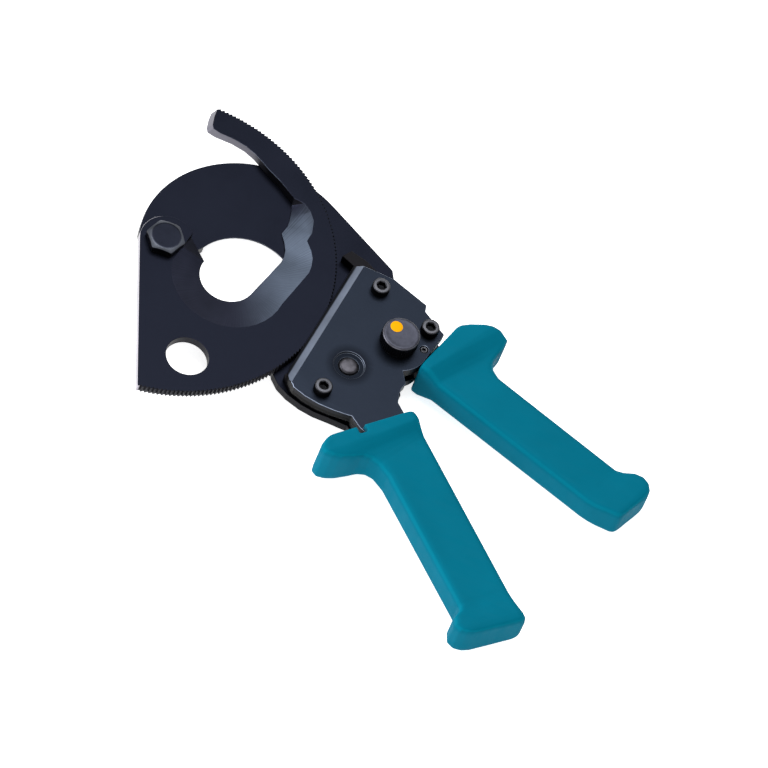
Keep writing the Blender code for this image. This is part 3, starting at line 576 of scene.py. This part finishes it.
def release_knob():
    """Knob with a knurled side and a dished top, on its stem."""
    _, low, top = place_of("release_knob")
    dish = [circle(5.6, top - 0.12), circle(6.6, top - 0.10), circle(7.2, top)]
    rim = [circle(7.8, top), circle(8.3, top - 0.18), circle(8.7, top - 0.55),
           circle(8.85, top - 1.0)]
    side = [knurl(KNOB_R, top - 1.3, KNOB_KNURL), knurl(KNOB_R, KNOB_FOOT + 1.5, KNOB_KNURL),
            circle(8.6, KNOB_FOOT + 1.2), circle(8.2, KNOB_FOOT + 0.5), circle(7.9, KNOB_FOOT)]
    stem = [circle(KNOB_STEM_R, KNOB_FOOT), circle(KNOB_STEM_R, KNOB_STEM_FOOT),
            circle(CAM_STEM_R, KNOB_STEM_FOOT), circle(CAM_STEM_R, low + 0.2), circle(1.7, low)]
    turned("knob_turned", "release_knob", dish + rim + side + stem)


def index_dot():
    """Domed dot let into the knob."""
    _, low, top = place_of("knob_index_dot")
    dome = [circle(0.8, top), circle(1.8, top - 0.03), circle(2.5, top - 0.10),
            circle(2.85, top - 0.22), circle(DOT_R, top - 0.4), circle(DOT_R, low)]
    turned("index_dot_moulded", "knob_index_dot", dome)


def spring(node, start, end, radius, wire, turns):
    """Compression spring of even pitch from start to end, lying level at its node's height."""
    middle = place_of(node)[0].z / MM
    axis = Vector((end[0] - start[0], end[1] - start[1], 0.0))
    forward = axis.normalized()
    across = Vector((-forward.y, forward.x, 0.0))
    curve = bpy.data.curves.new(node + "_coil", "CURVE")
    curve.dimensions = "3D"
    curve.bevel_depth = wire * MM
    curve.bevel_resolution = 3
    curve.use_fill_caps = True
    spline = curve.splines.new("POLY")
    count = turns * STEPS_PER_COIL
    spline.points.add(count)
    for k, point in enumerate(spline.points):
        share = k / count
        a = 2 * pi * turns * share
        swing = (across * cos(a) + Vector((0.0, 0.0, 1.0)) * sin(a)) * radius
        place = Vector((start[0], start[1], middle)) + axis * share + swing
        point.co = (*(place * MM), 1.0)
    coil = link(node + "_coil", curve)
    bpy.context.view_layer.update()
    wound = coil.evaluated_get(bpy.context.evaluated_depsgraph_get())
    mesh = bpy.data.meshes.new_from_object(wound)
    bpy.data.objects.remove(coil)
    mesh.shade_smooth()
    dress(link(node + "_wound", mesh), node)


def springs():
    spring("handle_return_spring", start=(120.4, -15.0), end=(117.8, -27.4),
           radius=1.7, wire=0.34, turns=7)
    spring("holding_pawl_spring", start=(89.6, -36.6), end=(88.3, -28.6),
           radius=1.6, wire=0.29, turns=5)
    spring("drive_pawl_spring", start=(106.4, 4.0), end=(91.4, -2.3),
           radius=1.3, wire=0.24, turns=8)


blades_and_plates()
grips()
pivot_bolt()
pivot_nut()
cap_screw("cover_screw_upper", turn=10.0)
cap_screw("cover_screw_lower", turn=35.0)
cap_screw("cover_screw_right", turn=20.0)
grub_screw()
holding_pawl_pin()
handle_pivot_pin()
release_knob()
index_dot()
springs()


# ---------------------------------------------------------------- camera, floor and light

def camera():
    """Tilted view of the tool as it lies, turned about its own line of sight."""
    tilt = radians(35.08)
    roll = radians(23.76)
    target = Vector((117.9, -23.7, 13.8)) * MM
    back = Vector((0.0, -sin(tilt), cos(tilt)))
    level_up = Vector((0.0, cos(tilt), sin(tilt)))
    right = Vector((cos(roll), 0.0, 0.0)) + level_up * sin(roll)
    up = Vector((-sin(roll), 0.0, 0.0)) + level_up * cos(roll)
    data = bpy.data.cameras.new("camera")
    data.lens = 500
    data.sensor_width = 36
    width = 349.1 * MM
    distance = width * data.lens / data.sensor_width
    obj = bpy.data.objects.new("camera", data)
    turn = Matrix((right, up, back)).transposed()
    obj.matrix_world = Matrix.Translation(target + back * distance) @ turn.to_4x4()
    bpy.context.scene.collection.objects.link(obj)
    bpy.context.scene.camera = obj


def area_light(name, place, size, power, colour=(1.0, 1.0, 1.0)):
    """A rectangular softbox aimed at the middle of the tool."""
    data = bpy.data.lights.new(name, "AREA")
    data.shape = "RECTANGLE"
    data.size, data.size_y = size
    data.energy = power
    data.color = colour
    obj = bpy.data.objects.new(name, data)
    obj.location = place
    tool_middle = Vector((0.11, -0.02, 0.0))
    aim = tool_middle - Vector(place)
    obj.rotation_mode = "QUATERNION"
    obj.rotation_quaternion = aim.to_track_quat("-Z", "Y")
    bpy.context.scene.collection.objects.link(obj)


def studio():
    world = bpy.data.worlds.new("studio")
    world.use_nodes = True
    sky = world.node_tree.nodes["Background"]
    sky.inputs["Color"].default_value = (1.0, 1.0, 1.0, 1.0)
    sky.inputs["Strength"].default_value = 0.55
    bpy.context.scene.world = world
    bpy.context.scene.view_settings.view_transform = "Standard"
    area_light("top_box", (-0.05, 0.35, 1.1), size=(0.9, 0.7), power=12.0)
    area_light("left_box", (-0.85, -0.35, 0.35), size=(0.7, 0.4), power=9.0,
               colour=(0.96, 0.97, 1.0))
    area_light("front_box", (0.05, -1.0, 0.55), size=(0.9, 0.3), power=4.0)


def floor():
    """Plain pale floor with a little glow of its own, like a light table."""
    half = 20.0
    z = -0.0002
    mesh = bpy.data.meshes.new("floor")
    corners = [(-half, -half, z), (half, -half, z), (half, half, z), (-half, half, z)]
    mesh.from_pydata(corners, [], [(0, 1, 2, 3)])
    mat = new_material("floor")
    shade(mat, Base_Color=(0.92, 0.92, 0.92, 1.0), Roughness=0.9,
          Emission_Color=(1.0, 1.0, 1.0, 1.0), Emission_Strength=0.75)
    mesh.materials.append(mat)
    link("floor", mesh)


camera()
studio()
floor()
